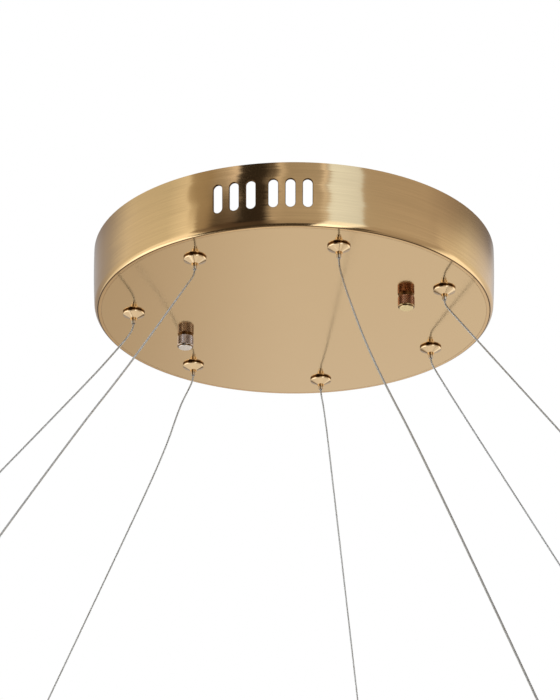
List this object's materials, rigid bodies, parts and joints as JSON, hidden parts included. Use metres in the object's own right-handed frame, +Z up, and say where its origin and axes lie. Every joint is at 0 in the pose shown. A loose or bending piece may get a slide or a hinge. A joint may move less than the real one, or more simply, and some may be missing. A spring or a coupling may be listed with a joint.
{
  "type": "chandelier canopy with suspension cables",
  "caption": "Round brass ceiling canopy with wall vents, knurled thumb nuts, cable grippers on one circle and steel suspension cables spreading to the light ring below.",
  "frame": {"origin": "middle of the ceiling bracket's upper face, in the ceiling plane", "axes": "+Z up to the ceiling; +X along the bracket to the right-hand thumb nut and the first cable gripper"},
  "size_m": [0.5982, 0.6846, 0.5049],
  "materials": {
    "brushed_brass": "brushed around the drum, lacquered",
    "polished_brass": "polished, near mirror",
    "turned_brass": "turned and polished",
    "nickel_plate": "turned, nickel plated, bright",
    "knurled_brass": "knurled, slightly aged",
    "zinc_steel": "zinc plated",
    "spring_steel": "bright",
    "terminal_steel": "zinc plated",
    "wire_rope": "stranded, clear coated",
    "crimp_aluminium": "crimped",
    "tinned_copper": "tinned",
    "driver_plastic": "fine moulded grain",
    "terminal_plastic": "moulded, waxy",
    "foam": "closed-cell foam",
    "live_brown": "insulated wire",
    "neutral_blue": "insulated wire",
    "earth_green": "insulated wire, green with yellow",
    "positive_red": "insulated wire",
    "negative_black": "insulated wire"
  },
  "bodies": {
    "canopy": {"canopy_wall": "brushed_brass", "canopy_plate": "polished_brass", "gripper_body_1": "turned_brass", "gripper_body_2": "turned_brass", "gripper_body_3": "turned_brass", "gripper_body_4": "turned_brass", "gripper_body_5": "turned_brass", "gripper_body_6": "turned_brass", "gripper_body_7": "turned_brass", "cable_end_1": "turned_brass", "cable_end_2": "turned_brass", "cable_end_3": "turned_brass", "cable_end_4": "turned_brass", "cable_end_5": "turned_brass", "cable_end_6": "turned_brass", "cable_end_7": "turned_brass", "gripper_spring_1": "spring_steel", "gripper_spring_2": "spring_steel", "gripper_spring_3": "spring_steel", "gripper_spring_4": "spring_steel", "gripper_spring_5": "spring_steel", "gripper_spring_6": "spring_steel", "gripper_spring_7": "spring_steel", "gripper_caps": "turned_brass", "gripper_nuts": "zinc_steel", "ceiling_bracket": "zinc_steel", "hanger_screws": "zinc_steel", "hanger_nuts": "zinc_steel", "earth_post": "zinc_steel", "earth_nut": "zinc_steel", "cable_1": "wire_rope", "cable_2": "wire_rope", "cable_3": "wire_rope", "cable_4": "wire_rope", "cable_5": "wire_rope", "cable_6": "wire_rope", "cable_7": "wire_rope", "cable_sleeves": "crimp_aluminium", "driver_case": "driver_plastic", "driver_cover": "driver_plastic", "terminal_block": "terminal_plastic", "terminal_screws": "terminal_steel", "mounting_pads": "foam", "earth_lug": "tinned_copper", "live_lead": "live_brown", "neutral_lead": "neutral_blue", "earth_lead": "earth_green", "positive_lead": "positive_red", "negative_lead": "negative_black"},
    "gripper_plunger_1": {"gripper_plunger_1": "nickel_plate"},
    "gripper_plunger_2": {"gripper_plunger_2": "nickel_plate"},
    "gripper_plunger_3": {"gripper_plunger_3": "nickel_plate"},
    "gripper_plunger_4": {"gripper_plunger_4": "nickel_plate"},
    "gripper_plunger_5": {"gripper_plunger_5": "nickel_plate"},
    "gripper_plunger_6": {"gripper_plunger_6": "nickel_plate"},
    "gripper_plunger_7": {"gripper_plunger_7": "nickel_plate"},
    "nut_washer_left": {"nut_washer_left": "knurled_brass"},
    "thumb_nut_left": {"thumb_nut_left": "knurled_brass"},
    "nut_washer_right": {"nut_washer_right": "knurled_brass"},
    "thumb_nut_right": {"thumb_nut_right": "knurled_brass"}
  },
  "joints": [
    {"name": "plunger_1_press", "type": "slide", "parent": "canopy", "child": "gripper_plunger_1", "axis": [0, 0, 1], "range_m": [0, 0.002], "stiffness_N_per_m": 250, "springref_m": -0.004, "deforming": ["gripper_spring_1"]},
    {"name": "plunger_2_press", "type": "slide", "parent": "canopy", "child": "gripper_plunger_2", "axis": [0, 0, 1], "range_m": [0, 0.002], "stiffness_N_per_m": 250, "springref_m": -0.004, "deforming": ["gripper_spring_2"]},
    {"name": "plunger_3_press", "type": "slide", "parent": "canopy", "child": "gripper_plunger_3", "axis": [0, 0, 1], "range_m": [0, 0.002], "stiffness_N_per_m": 250, "springref_m": -0.004, "deforming": ["gripper_spring_3"]},
    {"name": "plunger_4_press", "type": "slide", "parent": "canopy", "child": "gripper_plunger_4", "axis": [0, 0, 1], "range_m": [0, 0.002], "stiffness_N_per_m": 250, "springref_m": -0.004, "deforming": ["gripper_spring_4"]},
    {"name": "plunger_5_press", "type": "slide", "parent": "canopy", "child": "gripper_plunger_5", "axis": [0, 0, 1], "range_m": [0, 0.002], "stiffness_N_per_m": 250, "springref_m": -0.004, "deforming": ["gripper_spring_5"]},
    {"name": "plunger_6_press", "type": "slide", "parent": "canopy", "child": "gripper_plunger_6", "axis": [0, 0, 1], "range_m": [0, 0.002], "stiffness_N_per_m": 250, "springref_m": -0.004, "deforming": ["gripper_spring_6"]},
    {"name": "plunger_7_press", "type": "slide", "parent": "canopy", "child": "gripper_plunger_7", "axis": [0, 0, 1], "range_m": [0, 0.002], "stiffness_N_per_m": 250, "springref_m": -0.004, "deforming": ["gripper_spring_7"]},
    {"name": "nut_washer_left_drop", "type": "slide", "parent": "canopy", "child": "nut_washer_left", "axis": [0, 0, -1], "range_m": [0, 0.0049]},
    {"name": "thumb_nut_left_turn", "type": "hinge", "parent": "nut_washer_left", "child": "thumb_nut_left", "pos_m": [-0.0904, 0, -0.0485], "axis": [0, 0, -1], "range_deg": [0, 2520]},
    {"name": "nut_washer_right_drop", "type": "slide", "parent": "canopy", "child": "nut_washer_right", "axis": [0, 0, -1], "range_m": [0, 0.0049]},
    {"name": "thumb_nut_right_turn", "type": "hinge", "parent": "nut_washer_right", "child": "thumb_nut_right", "pos_m": [0.0904, 0, -0.0485], "axis": [0, 0, -1], "range_deg": [0, 2520]}
  ],
  "couplings": [
    {"joint": "thumb_nut_left_turn", "follows": "nut_washer_left_drop", "rad_per_m": 8976},
    {"joint": "thumb_nut_right_turn", "follows": "nut_washer_right_drop", "rad_per_m": 8976}
  ]
}
